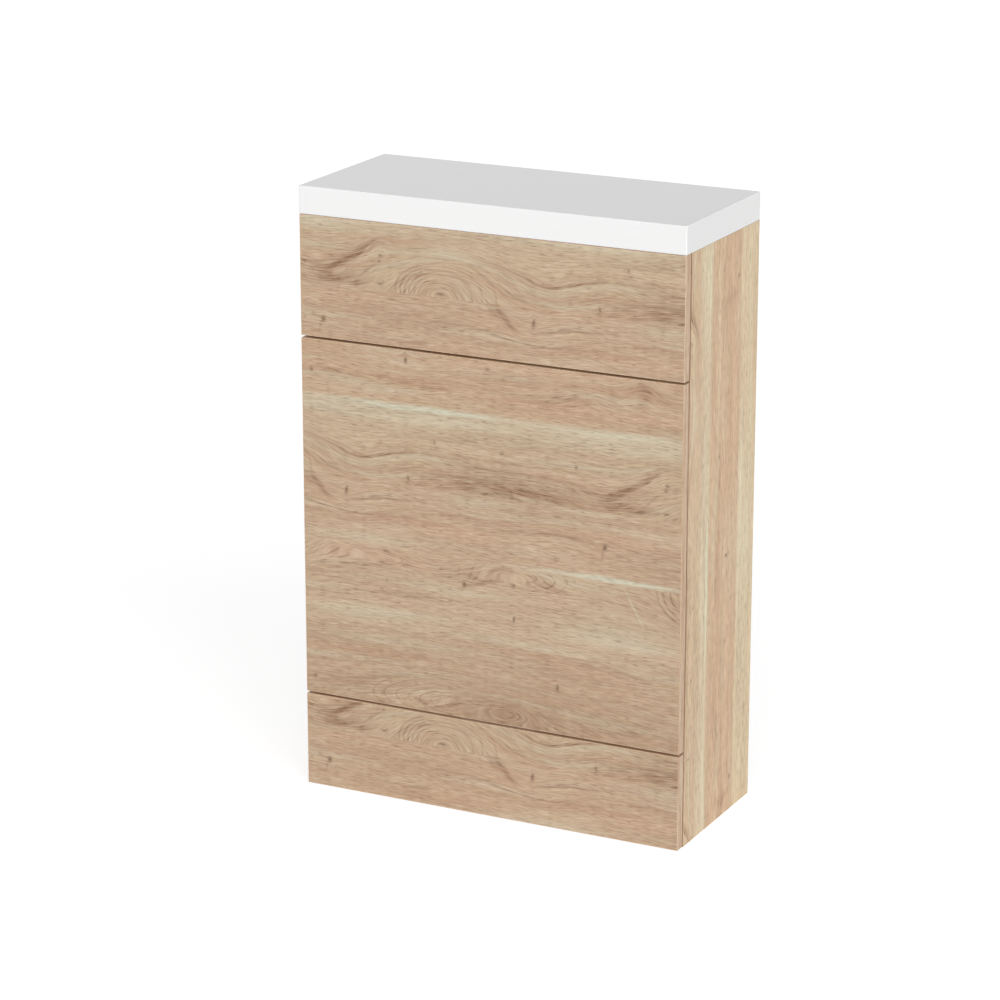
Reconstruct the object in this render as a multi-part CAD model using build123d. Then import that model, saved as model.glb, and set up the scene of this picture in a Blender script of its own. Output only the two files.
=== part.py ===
from build123d import *
from collections import namedtuple
import os

# A back-to-wall toilet furniture unit: a floor-standing cabinet that hides a toilet's cistern
# and pipes. Two side panels are joined by five upright rails and left open at the back and the
# floor. Three overlay fascia panels cover the front and a hollow cast worktop covers the top.
# The access panel and the plinth panel pull off on push-fit clips, the middle panel is screwed
# on, and the worktop lifts off.
#
# Millimetres. +X is to the right seen from the front, +Y runs from the front to the wall and
# +Z is up. The origin is on the floor, at the middle of the unit's width and depth.

# Overall sizes
unit_width = 600.0       # across the side panels
carcass_height = 864.0   # floor to the underside of the worktop
unit_depth = 255.0       # front face of the fascia to the wall

# Faced board and its edge tape
board = 16.0             # board thickness, the same for sides, rails and fascia
tape = 1.0               # thickness of the edge tape
tape_round = 0.6         # radius on the tape's trimmed edges

# Fascia
buffer_gap = 3.0         # between the back of the fascia and the carcass, kept by buffers
fascia_gap = 3.5         # shadow gap between two fascia panels
plinth_top = 142.2       # top of the plinth panel above the floor
access_height = 177.2    # access panel with its clearance below the worktop
floor_clearance = 1.0    # under the plinth panel
worktop_clearance = 0.3  # between the access panel and the worktop

# Worktop
worktop_height = 41.0    # outside height of its rim
worktop_overhang = 0.5   # past each side panel
worktop_plate = 12.0     # thickness of the flat top
worktop_wall = 10.0      # thickness of the rim
worktop_round = 1.5      # radius on its outer edges
pocket_round = 6.0       # radius in the corners of its hollow underside
block_size = 30.0        # locating blocks bonded under the worktop, square on plan
block_drop = 12.0        # how far they hang inside the carcass
block_clearance = 1.5    # from the carcass around them
block_chamfer = 1.5      # on all the edges of a block

# Rails
top_front_height = 50.0
upper_fascia_height = 70.0
lower_fascia_height = 90.0
back_rail_height = 80.0
access_cover = 28.0      # how far the upper fascia rail rises behind the access panel
middle_cover = 10.0      # how far the lower fascia rail rises behind the middle panel
back_rail_lift = 10.0    # bottom back rail above the floor
notch_width = 130.0      # notch in the lower fascia rail for the waste pipe
notch_depth = 45.0
notch_round = 15.0

# Joint between a rail's end and a side panel: one cam fitting between two dowels
dowel_radius = 4.0
dowel_in_side = 10.0
dowel_in_rail = 20.0
dowel_edge = 9.0         # dowel's centre from the rail's long edge
end_chamfer = 0.8        # on the ends of dowels and bolt heads
bore_play = 0.1          # radial play of every fixed fitting in its bore
end_play = 0.5           # spare depth at the end of every blind bore
cam_radius = 7.5
cam_past_bolt = 4.5      # depth of the cam's bore past the bolt's centre
cam_setback = 24.0       # cam's centre from the end of the rail
cam_sunk = 0.3           # cam's face below the face of the rail
cam_driver = 7.0         # length of each arm of the cam's cross recess
driver_width = 1.4
driver_depth = 2.5
bolt_thread_radius = 2.4
bolt_in_side = 11.0
bolt_collar_radius = 3.6
bolt_collar_height = 2.5
bolt_shank_radius = 2.8
bolt_neck_radius = 1.8
bolt_neck_length = 4.2
bolt_head_radius = 3.2
bolt_head_length = 3.8
bolt_head_past_cam = 2.0  # head's end beyond the cam's centre

# Push-fit clips of the two removable fascia panels
clip_inset = 76.0        # clip's centre from the outside of the unit
clip_edge = 15.0         # clip's centre from the panel's or rail's long edge
socket_radius = 6.0
socket_depth = 12.0
socket_lip_radius = 8.0
socket_lip = 1.0
socket_slit = 1.2
socket_ring = 4.0        # unslit length behind the lip
stud_plug_radius = 4.0
stud_plug_depth = 9.0
stud_flange_radius = 6.0
stud_flange = 0.8
stud_neck_radius = 2.2
stud_head_radius = 3.1
stud_head_length = 5.0
stud_reach = 10.0        # stud's tip past the back of the panel
snap_play = 0.2          # between the stud's head and its socket

# Buffers
buffer_radius = 4.0
buffer_x = 150.0         # buffer's centre either side of the middle

# Screws and brackets
screw_radius = 1.7
screw_tip_radius = 0.7
screw_tip_length = 3.5
screw_head_radius = 3.6
screw_head_height = 2.2
screw_crown_radius = 2.2    # flat on top of a pan head
screw_in_side = 12.0     # screw length inside a side panel
screw_in_panel = 10.0    # screw length inside the middle panel
screw_driver = 3.6
screw_driver_width = 0.9
screw_driver_depth = 1.3
fascia_screw_count = 4
fascia_screw_pitch = 112.0
steel = 2.0              # thickness of both kinds of bracket
fascia_bracket_leg = 30.0
fascia_bracket_width = 20.0
fascia_bracket_gap = 15.0   # above the lower fascia rail
fascia_bracket_hole = 18.0  # hole's centre from the corner, on both legs
wall_bracket_gap = 37.5     # from the back rails
wall_bracket_width = 25.0
wall_bracket_side_leg = 45.0
wall_bracket_wall_leg = 42.0
wall_bracket_side_holes = (15.0, 33.0)  # from the wall
wall_slot_radius = 2.75
wall_slot_length = 12.0  # end to end
wall_slot_centre = 24.0  # from the side panel's inner face
screw_hole_play = 0.5    # radial play of a screw in a bracket or in a rail

# Planes and lines worked out from the sizes above
front = -unit_depth / 2
wall = unit_depth / 2
fascia_back = front + board
carcass_front = fascia_back + buffer_gap
half_width = unit_width / 2
inner_half = half_width - board
cam_depth = board / 2 + cam_past_bolt
middle_bottom = plinth_top + fascia_gap
access_bottom = carcass_height - access_height
middle_top = access_bottom - fascia_gap
access_top = carcass_height - worktop_clearance
worktop_top = carcass_height + worktop_height
upper_rail_top = access_bottom + access_cover
lower_rail_top = middle_bottom + middle_cover
front_rail_inside = carcass_front + board
back_rail_inside = wall - board
clip_x = half_width - clip_inset
fascia_screw_z = (middle_top + upper_rail_top - upper_fascia_height) / 2

# A rail: name, height of its lower edge, its own height, and whether it is at the front
Rail = namedtuple("Rail", "name bottom height at_front")
rails = (
    Rail("top_front_rail", carcass_height - top_front_height, top_front_height, True),
    Rail("upper_fascia_rail", upper_rail_top - upper_fascia_height, upper_fascia_height, True),
    Rail("lower_fascia_rail", lower_rail_top - lower_fascia_height, lower_fascia_height, True),
    Rail("top_back_rail", carcass_height - back_rail_height, back_rail_height, False),
    Rail("bottom_back_rail", back_rail_lift, back_rail_height, False),
)
top_front_rail, upper_fascia_rail, lower_fascia_rail, top_back_rail, bottom_back_rail = rails

# Heights of the two rows of clips behind each removable panel
access_clip_zs = (access_bottom + access_cover / 2, top_front_rail.bottom + top_front_height / 2)
plinth_clip_zs = (lower_fascia_rail.bottom + clip_edge, plinth_top - clip_edge)

# Heights of the brackets, which stand clear of the rails
fascia_bracket_zs = (
    lower_rail_top + fascia_bracket_gap + fascia_bracket_width / 2,
    (lower_rail_top + upper_fascia_rail.bottom) / 2,
)
wall_bracket_zs = (
    bottom_back_rail.bottom + back_rail_height + wall_bracket_gap + wall_bracket_width / 2,
    top_back_rail.bottom - wall_bracket_gap - wall_bracket_width / 2,
)


def block(low, high):
    """A rectangular solid between two opposite corners."""
    size = [b - a for a, b in zip(low, high)]
    centre = [(a + b) / 2 for a, b in zip(low, high)]
    return Pos(*centre) * Box(*size)


def bar(start, direction, radius, length):
    """A round bar from a point, along a direction."""
    ends = (Align.CENTER, Align.CENTER, Align.MIN)
    return Plane(origin=start, z_dir=direction) * Cylinder(radius, length, align=ends)


def turned(corners):
    """A turned piece about Z, from the (radius, height) corners of half its section."""
    outline = [(0, corners[0][1]), *corners, (0, corners[-1][1])]
    section = make_face(Plane.XZ * Polyline(*outline, close=True))
    return revolve(section, Axis.Z)


def cross_recess(arm, width, depth):
    """The cross of a screwdriver recess, cut down from Z 0."""
    return Pos(0, 0, -depth / 2) * (Box(arm, width, depth) + Box(width, arm, depth))


def placed(piece, start, direction):
    """A piece made about Z, moved so that its Z runs along a direction from a point."""
    return Plane(origin=start, z_dir=direction) * piece


def both_sides(piece):
    """A piece of the right-hand side and its mirror image on the left."""
    return [piece, mirror(piece, Plane.YZ)]


def rail_faces(rail):
    """The rail's face towards the inside of the unit, the middle of its thickness, and the
    direction from that face into the room inside the unit."""
    if rail.at_front:
        return front_rail_inside, carcass_front + board / 2, 1
    return back_rail_inside, wall - board / 2, -1


def rail_middle(rail):
    """Height of the rail's cam fittings."""
    return rail.bottom + rail.height / 2


def dowel_heights(rail):
    """Heights of the two dowels at each end of a rail."""
    return rail.bottom + dowel_edge, rail.bottom + rail.height - dowel_edge


# Joint between rails and sides

def joint_bores():
    """Every bore that the rails' joints need, for both ends of all rails."""
    bores = []
    for rail in rails:
        inside, middle, inward = rail_faces(rail)
        for side in (-1, 1):
            end = (side * inner_half, middle, rail_middle(rail))
            into_rail = (-side, 0, 0)
            into_side = (side, 0, 0)
            bores.append(bar(end, into_rail, bolt_collar_radius + bore_play, cam_setback))
            bores.append(bar(end, into_side, bolt_thread_radius + bore_play, bolt_in_side + end_play))
            cam_face = (side * (inner_half - cam_setback), inside, rail_middle(rail))
            bores.append(bar(cam_face, (0, -inward, 0), cam_radius, cam_depth))
            for z in dowel_heights(rail):
                at = (side * inner_half, middle, z)
                radius = dowel_radius + bore_play
                bores.append(bar(at, into_rail, radius, dowel_in_rail + end_play))
                bores.append(bar(at, into_side, radius, dowel_in_side + end_play))
    return bores


def dowels():
    """Plain wooden dowels, half in a side panel and half in a rail's end."""
    length = dowel_in_side + dowel_in_rail
    edge = dowel_radius - end_chamfer
    dowel = turned([
        (edge, 0), (dowel_radius, end_chamfer),
        (dowel_radius, length - end_chamfer), (edge, length),
    ])
    made = []
    for rail in rails:
        middle = rail_faces(rail)[1]
        for side in (-1, 1):
            for z in dowel_heights(rail):
                start = (side * (inner_half + dowel_in_side), middle, z)
                made.append(placed(dowel, start, (-side, 0, 0)))
    return made


def cam_bolts():
    """Steel bolts screwed into the sides, whose heads lie in the cams."""
    head_end = cam_setback + bolt_head_past_cam
    head_start = head_end - bolt_head_length
    neck_start = head_start - bolt_neck_length
    bolt = turned([
        (bolt_thread_radius, -bolt_in_side), (bolt_thread_radius, 0),
        (bolt_collar_radius, 0), (bolt_collar_radius, bolt_collar_height),
        (bolt_shank_radius, bolt_collar_height), (bolt_shank_radius, neck_start),
        (bolt_neck_radius, neck_start), (bolt_neck_radius, head_start),
        (bolt_head_radius, head_start + end_chamfer), (bolt_head_radius, head_end - end_chamfer),
        (bolt_head_radius - end_chamfer, head_end),
    ])
    made = []
    for rail in rails:
        middle = rail_faces(rail)[1]
        for side in (-1, 1):
            end = (side * inner_half, middle, rail_middle(rail))
            made.append(placed(bolt, end, (-side, 0, 0)))
    return made


def cam_locks():
    """Cast drums in the rails' inner faces, each with a cross recess and a hollow for its bolt."""
    height = cam_depth - cam_sunk - bore_play
    made = []
    for rail in rails:
        inside, middle, inward = rail_faces(rail)
        for side in (-1, 1):
            at = (side * (inner_half - cam_setback), inside - inward * cam_sunk, rail_middle(rail))
            drum = Pos(0, 0, -height / 2) * Cylinder(cam_radius - bore_play, height)
            drum -= cross_recess(cam_driver, driver_width, driver_depth)
            drum = placed(drum, at, (0, inward, 0))
            tip = side * (inner_half - cam_setback - bolt_head_past_cam - end_play)
            hollow = bar((tip, middle, rail_middle(rail)), (side, 0, 0),
                         bolt_head_radius + end_play, cam_radius * 2)
            made.append(drum - hollow)
    return made


# Clips, buffers, brackets and screws

def clip_places(zs):
    """Centres on the fascia's back face of the four clips of one panel."""
    return [(x, fascia_back, z) for x in (-clip_x, clip_x) for z in zs]


def socket_bores(zs):
    """Stepped bores for clip sockets in the front faces of the rails."""
    bores = []
    for x, _, z in clip_places(zs):
        start = (x, carcass_front, z)
        bores.append(bar(start, (0, 1, 0), socket_radius + bore_play, socket_depth + end_play))
        bores.append(bar(start, (0, 1, 0), socket_lip_radius + bore_play, socket_lip))
    return bores


def clip_sockets(zs):
    """Split sockets pressed into the rails, with their lips flush."""
    body = Pos(0, 0, socket_depth / 2) * Cylinder(socket_radius, socket_depth)
    body += Pos(0, 0, socket_lip / 2) * Cylinder(socket_lip_radius, socket_lip)
    body -= Pos(0, 0, socket_depth / 2) * Cylinder(stud_head_radius + snap_play, socket_depth)
    slit_length = socket_depth - socket_ring
    slits = Box(2 * socket_radius + 1, socket_slit, slit_length)
    slits += Box(socket_slit, 2 * socket_radius + 1, slit_length)
    body -= Pos(0, 0, socket_ring + slit_length / 2) * slits
    return [placed(body, (x, carcass_front, z), (0, 1, 0)) for x, _, z in clip_places(zs)]


def stud_bores(zs):
    """Blind bores for clip studs in the back of a removable panel."""
    radius = stud_plug_radius + bore_play
    return [bar(at, (0, -1, 0), radius, stud_plug_depth + end_play) for at in clip_places(zs)]


def clip_studs(zs):
    """Studs pressed into the back of a removable panel, whose round heads enter the sockets."""
    head_middle = stud_reach - stud_head_length / 2
    stud = turned([
        (stud_plug_radius, -stud_plug_depth), (stud_plug_radius, 0),
        (stud_flange_radius, 0), (stud_flange_radius, stud_flange),
        (stud_neck_radius, stud_flange), (stud_neck_radius, head_middle),
    ])
    ball = Pos(0, 0, head_middle) * Sphere(stud_head_radius)
    past_tip = Pos(0, 0, stud_reach + stud_head_radius) * Box(*[2 * stud_head_radius] * 3)
    stud += ball - past_tip
    return [placed(stud, at, (0, 1, 0)) for at in clip_places(zs)]


def buffers():
    """Round buffers on the rails that hold the fascia clear of the carcass."""
    heights = (plinth_clip_zs[0], middle_bottom + middle_cover / 2, fascia_screw_z, *access_clip_zs)
    return [
        bar((side * buffer_x, fascia_back, z), (0, 1, 0), buffer_radius, buffer_gap)
        for z in heights for side in (-1, 1)
    ]


def pan_screw(length):
    """A pan-head screw about Z, head up, with the underside of its head at Z 0."""
    screw = turned([
        (screw_tip_radius, -length), (screw_radius, -length + screw_tip_length), (screw_radius, 0),
        (screw_head_radius, 0), (screw_head_radius, screw_head_height / 2),
        (screw_crown_radius, screw_head_height),
    ])
    recess = cross_recess(screw_driver, screw_driver_width, screw_driver_depth)
    return screw - Pos(0, 0, screw_head_height) * recess


def sunk_screw(length):
    """A countersunk screw about Z, head up, with the top of its head at Z 0."""
    cone = screw_head_radius - screw_radius
    screw = turned([
        (screw_tip_radius, -length), (screw_radius, -length + screw_tip_length), (screw_radius, -cone),
        (screw_head_radius, 0),
    ])
    return screw - cross_recess(screw_driver, screw_driver_width, screw_driver_depth)


fascia_screw_places = [
    ((i - (fascia_screw_count - 1) / 2) * fascia_screw_pitch, front_rail_inside, fascia_screw_z)
    for i in range(fascia_screw_count)
]
fascia_screw_length = board + buffer_gap + screw_in_panel


def fascia_screw_holes():
    """Countersunk clearance holes through the upper fascia rail."""
    cone = screw_head_radius - screw_radius
    holes = []
    for at in fascia_screw_places:
        holes.append(bar(at, (0, -1, 0), screw_radius + screw_hole_play, board))
        sink = turned([(screw_radius + bore_play, -cone), (screw_head_radius + bore_play, 0)])
        holes.append(placed(sink, at, (0, 1, 0)))
    return holes


def fascia_screw_pilots():
    """Pilot bores for the same screws in the back of the middle panel."""
    depth = screw_in_panel + end_play
    return [
        bar((x, fascia_back, z), (0, -1, 0), screw_radius + bore_play, depth)
        for x, _, z in fascia_screw_places
    ]


def fascia_screws():
    """Countersunk screws from inside, through the upper fascia rail into the middle panel."""
    screw = sunk_screw(fascia_screw_length)
    return [placed(screw, at, (0, 1, 0)) for at in fascia_screw_places]


def fascia_brackets():
    """Right-hand steel angles between the side panel and the back of the middle panel."""
    made = []
    for z in fascia_bracket_zs:
        low, high = z - fascia_bracket_width / 2, z + fascia_bracket_width / 2
        corner = inner_half - fascia_bracket_leg
        angle = block((corner, fascia_back, low), (inner_half, fascia_back + steel, high))
        angle += block((inner_half - steel, fascia_back, low),
                       (inner_half, fascia_back + fascia_bracket_leg, high))
        hole = screw_radius + screw_hole_play
        angle -= bar((inner_half - fascia_bracket_hole, fascia_back, z), (0, 1, 0), hole, steel)
        angle -= bar((inner_half, fascia_back + fascia_bracket_hole, z), (-1, 0, 0), hole, steel)
        made += both_sides(angle)
    return made


def fascia_bracket_screws():
    """One screw into the middle panel and one into the side panel for each fascia bracket."""
    made = []
    for z in fascia_bracket_zs:
        in_panel = placed(pan_screw(screw_in_panel + steel),
                          (inner_half - fascia_bracket_hole, fascia_back + steel, z), (0, 1, 0))
        in_side = placed(pan_screw(screw_in_side + steel),
                         (inner_half - steel, fascia_back + fascia_bracket_hole, z), (-1, 0, 0))
        made += both_sides(in_panel) + both_sides(in_side)
    return made


def fascia_bracket_pilots():
    """Pilot bores for the fascia brackets' screws, in the middle panel and in the sides."""
    pilots = []
    for z in fascia_bracket_zs:
        radius = screw_radius + bore_play
        in_panel = bar((inner_half - fascia_bracket_hole, fascia_back, z), (0, -1, 0), radius,
                       screw_in_panel + end_play)
        in_side = bar((inner_half, fascia_back + fascia_bracket_hole, z), (1, 0, 0), radius,
                      screw_in_side + end_play)
        pilots += both_sides(in_panel) + both_sides(in_side)
    return pilots


def wall_brackets():
    """Steel angles on the side panels with a slot for a wall screw."""
    made = []
    for z in wall_bracket_zs:
        low, high = z - wall_bracket_width / 2, z + wall_bracket_width / 2
        angle = block((inner_half - steel, wall - wall_bracket_side_leg, low), (inner_half, wall, high))
        angle += block((inner_half - wall_bracket_wall_leg, wall - steel, low), (inner_half, wall, high))
        for back in wall_bracket_side_holes:
            hole = screw_radius + screw_hole_play
            angle -= bar((inner_half, wall - back, z), (-1, 0, 0), hole, steel)
        half_run = wall_slot_length / 2 - wall_slot_radius
        centre = inner_half - wall_slot_centre
        for x in (centre - half_run, centre + half_run):
            angle -= bar((x, wall - steel, z), (0, 1, 0), wall_slot_radius, steel)
        angle -= block((centre - half_run, wall - steel, z - wall_slot_radius),
                       (centre + half_run, wall, z + wall_slot_radius))
        made += both_sides(angle)
    return made


def wall_bracket_screws():
    """Two screws into the side panel for each wall bracket."""
    made = []
    for z in wall_bracket_zs:
        for back in wall_bracket_side_holes:
            at = (inner_half - steel, wall - back, z)
            made += both_sides(placed(pan_screw(screw_in_side + steel), at, (-1, 0, 0)))
    return made


def wall_bracket_pilots():
    """Pilot bores for the wall brackets' screws in the sides."""
    pilots = []
    for z in wall_bracket_zs:
        for back in wall_bracket_side_holes:
            pilot = bar((inner_half, wall - back, z), (1, 0, 0), screw_radius + bore_play,
                        screw_in_side + end_play)
            pilots += both_sides(pilot)
    return pilots


# Boards

def side_panel(side, bores):
    """A drilled side panel without its front tape."""
    xs = sorted((side * inner_half, side * half_width))
    return block((xs[0], carcass_front + tape, 0), (xs[1], wall, carcass_height)) - bores


def side_tape(side):
    """The tape on a side panel's front edge, with its two long edges eased."""
    xs = sorted((side * inner_half, side * half_width))
    strip = block((xs[0], carcass_front, 0), (xs[1], carcass_front + tape, carcass_height))
    eased = strip.edges().filter_by(Axis.Z).group_by(Axis.Y)[0]
    return fillet(eased, tape_round)


def rail_board(rail, bores):
    """A drilled rail between the two sides."""
    middle = rail_faces(rail)[1]
    low, high = middle - board / 2, middle + board / 2
    return block((-inner_half, low, rail.bottom), (inner_half, high, rail.bottom + rail.height)) - bores


def pipe_notch():
    """The notch for the waste pipe in the top edge of the lower fascia rail."""
    low_corner = (-notch_width / 2, carcass_front, lower_rail_top - notch_depth)
    cut = block(low_corner, (notch_width / 2, front_rail_inside, lower_rail_top + notch_round))
    lower_edges = cut.edges().filter_by(Axis.Y).group_by(Axis.Z)[0]
    return fillet(lower_edges, notch_round)


def whole_fascia(bottom, top):
    """A fascia panel with all its outer edges eased, before it is parted into board and tape."""
    whole = block((-half_width, front, bottom), (half_width, fascia_back, top))
    return fillet(whole.edges(), tape_round)


def fascia_board(bottom, top, bores):
    """The board inside a fascia panel's tape, drilled from the back."""
    inner = block((-half_width + tape, front, bottom + tape), (half_width - tape, fascia_back, top - tape))
    return (whole_fascia(bottom, top) & inner) - bores


def fascia_tape(bottom, top):
    """The four strips of tape round a fascia panel: the long ones lap the upright ones."""
    whole = whole_fascia(bottom, top)
    strips = [
        block((-half_width, front, bottom), (half_width, fascia_back, bottom + tape)),
        block((-half_width, front, top - tape), (half_width, fascia_back, top)),
        block((-half_width, front, bottom + tape), (-half_width + tape, fascia_back, top - tape)),
        block((half_width - tape, front, bottom + tape), (half_width, fascia_back, top - tape)),
    ]
    return [whole & strip for strip in strips]


# Worktop

def worktop():
    """A cast top: a flat plate on a rim, hollow underneath."""
    half = half_width + worktop_overhang
    top = block((-half, front, carcass_height), (half, wall, worktop_top))
    top = fillet(top.edges(), worktop_round)
    under = worktop_top - worktop_plate
    pocket = block((-half + worktop_wall, front + worktop_wall, carcass_height - pocket_round),
                   (half - worktop_wall, wall - worktop_wall, under))
    pocket = fillet(pocket.edges().filter_by(Axis.Z) + pocket.edges().group_by(Axis.Z)[-1], pocket_round)
    return top - pocket


def worktop_blocks():
    """Blocks bonded under the worktop that hang just inside the carcass and locate it."""
    low, high = carcass_height - block_drop, worktop_top - worktop_plate
    x_out = inner_half - block_clearance
    y_front = front_rail_inside + block_clearance
    y_back = back_rail_inside - block_clearance
    made = []
    for y in (y_front, y_back - block_size):
        piece = block((x_out - block_size, y, low), (x_out, y + block_size, high))
        made += both_sides(chamfer(piece.edges(), block_chamfer))
    return made


def save(name, *shapes):
    """Writes the solids of some shapes as one named piece."""
    solids = [solid for shape in shapes for solid in shape.solids()]
    export_step(Compound(solids), f"parts/{name}.step")


os.makedirs("parts", exist_ok=True)

joints = joint_bores()
carcass_bores = joints + fascia_bracket_pilots() + wall_bracket_pilots()
sockets = socket_bores(access_clip_zs) + socket_bores(plinth_clip_zs)
rail_bores = joints + sockets + fascia_screw_holes()

for label, side in (("left", -1), ("right", 1)):
    save(f"{label}_side_panel", side_panel(side, carcass_bores))
    save(f"{label}_side_edging", side_tape(side))

for rail in rails:
    cuts = rail_bores + [pipe_notch()] if rail is lower_fascia_rail else rail_bores
    save(rail.name, rail_board(rail, cuts))

save("access_panel", fascia_board(access_bottom, access_top, stud_bores(access_clip_zs)))
save("access_panel_edging", *fascia_tape(access_bottom, access_top))
save("middle_panel", fascia_board(middle_bottom, middle_top,
                                  fascia_screw_pilots() + fascia_bracket_pilots()))
save("middle_panel_edging", *fascia_tape(middle_bottom, middle_top))
save("plinth_panel", fascia_board(floor_clearance, plinth_top, stud_bores(plinth_clip_zs)))
save("plinth_panel_edging", *fascia_tape(floor_clearance, plinth_top))

save("worktop", worktop())
save("worktop_blocks", *worktop_blocks())

save("dowels", *dowels())
save("cam_bolts", *cam_bolts())
save("cam_locks", *cam_locks())
save("access_clip_sockets", *clip_sockets(access_clip_zs))
save("plinth_clip_sockets", *clip_sockets(plinth_clip_zs))
save("access_clip_studs", *clip_studs(access_clip_zs))
save("plinth_clip_studs", *clip_studs(plinth_clip_zs))
save("panel_buffers", *buffers())
save("fascia_screws", *fascia_screws())
save("fascia_brackets", *fascia_brackets())
save("fascia_bracket_screws", *fascia_bracket_screws())
save("wall_brackets", *wall_brackets())
save("wall_bracket_screws", *wall_bracket_screws())
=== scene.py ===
"""Looks of a back-to-wall toilet furniture unit, built around its CAD frame.

Everything is in metres in the frame's own axes: +X right, +Y to the wall, +Z up. Patterns are worked
out in millimetres from Object coordinates. The oak print has u along its grain and v across it.
"""
import math
from collections import namedtuple

import bpy
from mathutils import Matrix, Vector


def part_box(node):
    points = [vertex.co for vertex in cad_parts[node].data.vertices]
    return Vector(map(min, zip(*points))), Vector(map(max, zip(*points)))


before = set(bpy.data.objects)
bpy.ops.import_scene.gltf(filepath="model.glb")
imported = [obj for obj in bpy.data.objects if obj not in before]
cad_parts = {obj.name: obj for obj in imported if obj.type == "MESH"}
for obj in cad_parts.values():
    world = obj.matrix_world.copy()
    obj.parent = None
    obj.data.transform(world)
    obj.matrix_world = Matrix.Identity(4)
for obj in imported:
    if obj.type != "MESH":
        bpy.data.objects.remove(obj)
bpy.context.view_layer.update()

MM = 1000.0

# The camera, from the photograph's straight edges
PICTURE_SIDE = 1000
FOCAL_PIXELS = 3591.0
SENSOR = 36.0
CAMERA_AZIMUTH = math.radians(26.661)
CAMERA_ELEVATION = math.radians(16.8)
CAMERA_AIM = (-0.0352, -0.0198, 0.4462)
CAMERA_DISTANCE = 5.195

# Light, as shares of the light at which a colour renders as it is written
SKY_LIGHT = 0.27
KEY_LIGHT = 1.06
KEY_AZIMUTH = math.radians(36.5)
KEY_ELEVATION = math.radians(16.0)
KEY_SPREAD = math.radians(70.0)
FLOOR_SHADE = 0.45
FLOOR_GLOW = 0.77
FLOOR_RADIUS = 9.0

# The oak print: one repeat along the grain, and room between its planks for what bends their grain
REPEAT = 746.0
PLANK_ROOM = 400.0


def srgb(red, green, blue):
    """A colour from its 0 to 255 screen values, as the linear colour that nodes take."""
    def linear(value):
        share = value / 255.0
        return share / 12.92 if share <= 0.04045 else ((share + 0.055) / 1.055) ** 2.4
    return (linear(red), linear(green), linear(blue), 1.0)


# Node trees


class Tree:
    """A node tree under construction. Each call adds a node and gives back its output."""

    def __init__(self, tree):
        self.nodes = tree.nodes
        self.links = tree.links

    def add(self, kind, inputs, output=0, **settings):
        node = self.nodes.new(kind)
        for name, value in settings.items():
            setattr(node, name, value)
        self.fill(node, inputs)
        return node.outputs[output]

    def fill(self, node, inputs):
        """Links or sets a node's inputs, each by its name or number."""
        for name, value in inputs.items():
            if isinstance(value, bpy.types.NodeSocket):
                self.links.new(value, node.inputs[name])
            else:
                node.inputs[name].default_value = value

    def math(self, operation, *values, clamp=False):
        return self.add("ShaderNodeMath", dict(enumerate(values)), operation=operation, use_clamp=clamp)

    def vector(self, operation, *values):
        output = 1 if operation in ("DOT_PRODUCT", "LENGTH") else 0
        return self.add("ShaderNodeVectorMath", dict(enumerate(values)), output, operation=operation)

    def combine(self, x, y, z=0.0):
        return self.add("ShaderNodeCombineXYZ", {0: x, 1: y, 2: z})

    def split(self, vector):
        node = self.nodes.new("ShaderNodeSeparateXYZ")
        self.links.new(vector, node.inputs[0])
        return node.outputs

    def grade(self, value, low, high, to_low=0.0, to_high=1.0):
        """value from low to high becomes to_low to to_high, smoothly, and stays there outside."""
        return self.add("ShaderNodeMapRange", {0: value, 1: low, 2: high, 3: to_low, 4: to_high},
                        interpolation_type="SMOOTHSTEP")

    def mix(self, share, first, second, blend="MIX"):
        return self.add("ShaderNodeMix", {0: share, 6: first, 7: second}, 2,
                        data_type="RGBA", blend_type=blend)

    def noise(self, vector, scale=1.0, detail=2.0, roughness=0.5, output=0, kind="2D"):
        inputs = {"Vector": vector, "Scale": scale, "Detail": detail, "Roughness": roughness}
        return self.add("ShaderNodeTexNoise", inputs, output, noise_dimensions=kind)

    def cells(self, vector, scale=1.0, output="Color"):
        return self.add("ShaderNodeTexVoronoi", {"Vector": vector, "Scale": scale}, output)

    def ramp(self, value, stops):
        """A colour for each value from 0 to 1, blended between (place, colour) stops."""
        node = self.nodes.new("ShaderNodeValToRGB")
        points = node.color_ramp.elements
        while len(points) < len(stops):
            points.new(1.0)
        for point, (place, colour) in zip(points, stops):
            point.position = place
            point.color = colour
        self.links.new(value, node.inputs[0])
        return node.outputs[0]

    def along(self, vector, x, y, z=0.0):
        """The vector's x, y and z in these shares, as one value."""
        return self.vector("DOT_PRODUCT", vector, (x, y, z))

    def offset(self, vector, place, size, turn=0.0):
        """The way from a place to the vector, in shares of a size, with its axes turned by degrees.

        The vector's z is 1, so that a dot product can move it as well as turn it. There is no
        Mapping node here, because the renderer would work it out last and keep all else waiting.
        """
        (u, v), (length, width) = place, size
        if not turn:
            shares = (1 / length, 1 / width, 0)
            return self.vector("MULTIPLY_ADD", vector, shares, (-u / length, -v / width, 0))
        cos = math.cos(math.radians(turn))
        sin = math.sin(math.radians(turn))
        x = self.along(vector, cos / length, sin / length, -(u * cos + v * sin) / length)
        y = self.along(vector, -sin / width, cos / width, (u * sin - v * cos) / width)
        return self.combine(x, y)

    def bell(self, square):
        """1 where the square of a distance is 0, fading with it as one over e to its power."""
        return self.math("POWER", math.exp(-1.0), square)

    def spot(self, offset):
        """A soft spot, 1 where the offset is nothing and one over e at one size away."""
        return self.bell(self.vector("DOT_PRODUCT", offset, offset))

    def group(self, tree, inputs):
        """A node group placed here, with its own inputs. Gives back all its outputs."""
        node = self.nodes.new("ShaderNodeGroup")
        node.node_tree = tree
        self.fill(node, inputs)
        return node.outputs


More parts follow.
